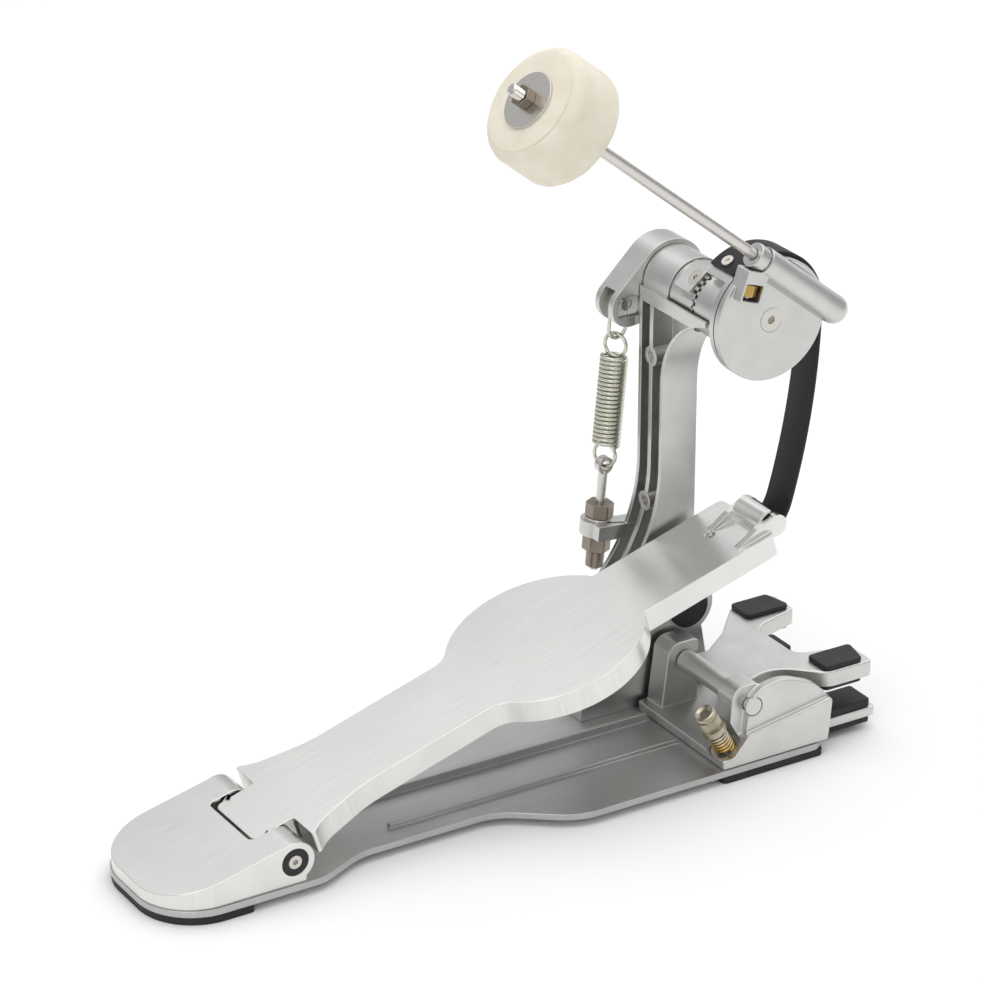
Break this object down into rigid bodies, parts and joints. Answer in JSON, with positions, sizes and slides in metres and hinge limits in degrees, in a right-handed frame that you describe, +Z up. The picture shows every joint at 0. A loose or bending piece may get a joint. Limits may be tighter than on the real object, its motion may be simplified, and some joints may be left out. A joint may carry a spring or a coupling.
{
  "type": "bass drum pedal",
  "caption": "Foot pedal that swings a felt beater against a bass drum: hinged footboard, strap over a cam wheel, single post, return spring and hoop clamp.",
  "frame": {"origin": "centre of the underside of the rubber pad under the heel", "axes": "+Y towards the drum along the base, +Z up, +X to the right of a player who faces the drum"},
  "size_m": [0.1225, 0.4105, 0.3931],
  "materials": {
    "base_metal": "satin",
    "rubber": "matt",
    "casting": "fine satin",
    "board_metal": "polished",
    "black_plastic": "matt",
    "screw_steel": "bright zinc",
    "nickel": "nickel",
    "strap": "matt, woven",
    "felt": "hard felt",
    "brass": "bright",
    "spring_steel": "zinc"
  },
  "bodies": {
    "base": {"base_plate": "base_metal", "heel_pad": "rubber", "front_pad_right": "rubber", "front_pad_left": "rubber", "heel_plate": "casting", "heel_plate_screws": "screw_steel", "hinge_cap_right": "black_plastic", "hinge_screw_right": "screw_steel", "hinge_cap_left": "black_plastic", "hinge_screw_left": "screw_steel", "hinge_pin": "screw_steel", "axle_bearings": "screw_steel", "foot_screws": "screw_steel", "post": "casting", "post_screws": "screw_steel", "post_foot_bolt": "screw_steel", "post_foot_cap": "black_plastic", "tension_rod": "nickel", "tension_nut_upper": "nickel", "tension_washers": "nickel", "tension_nut_lower": "nickel", "return_spring": "spring_steel", "front_casting": "casting", "casting_screws": "screw_steel", "lower_jaw_pads": "rubber", "lower_jaw_feet": "rubber", "clamp_pivot": "screw_steel", "clamp_spring": "brass"},
    "footboard": {"footboard": "board_metal", "hinge_bearings": "screw_steel", "toe_screw": "screw_steel"},
    "wheel": {"axle_shaft": "screw_steel", "tooth_collar": "casting", "collar_screw": "screw_steel", "spring_rocker": "casting", "rocker_roller": "nickel", "roller_pin": "screw_steel", "strap_wheel": "casting", "strap_wrap": "strap", "strap_screw": "screw_steel", "disc_screw": "screw_steel"},
    "holder": {"beater_disc": "casting", "eye_bolt": "nickel", "eye_bolt_nut": "brass"},
    "beater": {"beater_shaft": "nickel", "beater_head": "felt", "beater_washer": "nickel", "beater_nut": "nickel", "beater_back_washer": "nickel"},
    "strap": {"strap_run": "strap", "toe_pin": "screw_steel"},
    "spring_top": {"spring_hook": "nickel"},
    "jaw": {"upper_jaw": "casting", "upper_jaw_top_pads": "rubber", "upper_jaw_under_pads": "rubber"},
    "clamp_screw": {"clamp_screw": "nickel", "clamp_knob": "nickel"}
  },
  "joints": [
    {"name": "beater_swing", "type": "hinge", "parent": "base", "child": "wheel", "pos_m": [0, 0.318, 0.2335], "axis": [1, 0, 0], "range_deg": [-50, 0], "stiffness_Nm_per_rad": 1.5, "springref_deg": 20.05},
    {"name": "board_hinge", "type": "hinge", "parent": "base", "child": "footboard", "pos_m": [0, 0.0465, 0.0194], "axis": [1, 0, 0], "range_deg": [-7.6, 0]},
    {"name": "strap_hang", "type": "hinge", "parent": "wheel", "child": "strap", "pos_m": [0, 0.36041, 0.24545], "axis": [1, 0, 0], "range_deg": [0, 57.4]},
    {"name": "spring_pull", "type": "slide", "parent": "base", "child": "spring_top", "axis": [0, 0, 1], "range_m": [0, 0.0232], "deforming": ["return_spring"]},
    {"name": "holder_tilt", "type": "hinge", "parent": "wheel", "child": "holder", "pos_m": [0, 0.3305, 0.2315], "axis": [1, 0, 0], "range_deg": [-12, 12]},
    {"name": "beater_height", "type": "slide", "parent": "holder", "child": "beater", "axis": [0, -0.7826, 0.6225], "range_m": [-0.01, 0.02]},
    {"name": "jaw_hinge", "type": "hinge", "parent": "base", "child": "jaw", "pos_m": [0, 0.3045, 0.0375], "axis": [1, 0, 0], "range_deg": [-2, 6]},
    {"name": "clamp_travel", "type": "slide", "parent": "base", "child": "clamp_screw", "axis": [0, -0.5, 0.866], "range_m": [-0.0015, 0.0042], "deforming": ["clamp_spring"]}
  ],
  "couplings": [
    {"joint": "board_hinge", "follows": "beater_swing", "ratio": 0.15002},
    {"joint": "strap_hang", "follows": "beater_swing", "ratio": -1.1437},
    {"joint": "spring_pull", "follows": "beater_swing", "m_per_rad": -0.02622},
    {"joint": "clamp_travel", "follows": "jaw_hinge", "m_per_rad": 0.038}
  ]
}
